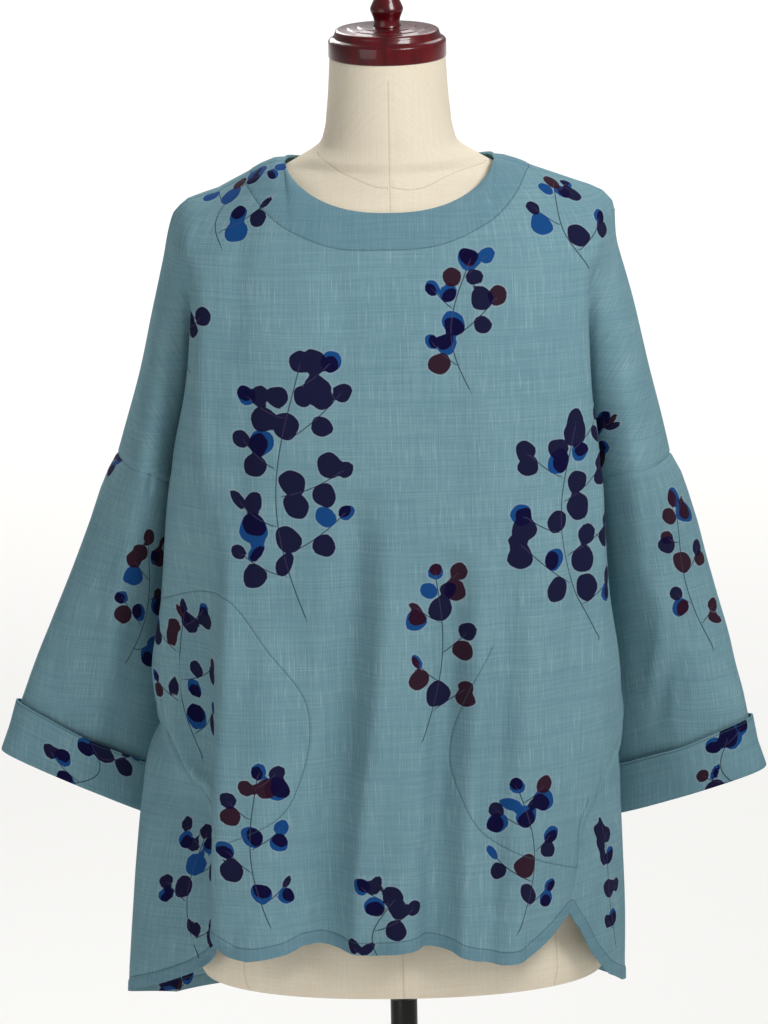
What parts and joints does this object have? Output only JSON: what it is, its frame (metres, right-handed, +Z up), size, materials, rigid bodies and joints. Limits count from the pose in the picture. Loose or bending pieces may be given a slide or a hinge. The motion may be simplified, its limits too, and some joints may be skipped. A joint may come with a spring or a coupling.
{
  "type": "pullover blouse on a dress form with stand",
  "caption": "Wide woven pullover blouse with boat neck, turned-up cuffs and curved hem, on a limbless dress form with neck cap, pole and round base.",
  "frame": {"origin": "centre of the stand base's flat underside", "axes": "+Z up, -Y towards the front of the blouse, +X towards the viewer's right when the front is seen"},
  "size_m": [0.6524, 0.33, 1.5577],
  "materials": {
    "cloth": "slub cotton plain weave with printed leaf sprays, matt",
    "linen": "cream linen plain weave, matt",
    "lacquer": "dark red gloss lacquer on turned wood",
    "black_steel": "black enamel, satin"
  },
  "bodies": {
    "root": {"front": "cloth", "back": "cloth", "sleeve_right": "cloth", "sleeve_left": "cloth", "cuff_right": "cloth", "cuff_left": "cloth", "form_body": "linen", "neck_cap": "lacquer", "finial": "lacquer", "stand_socket": "black_steel", "stand_pole": "black_steel", "stand_base": "black_steel"}
  },
  "joints": []
}
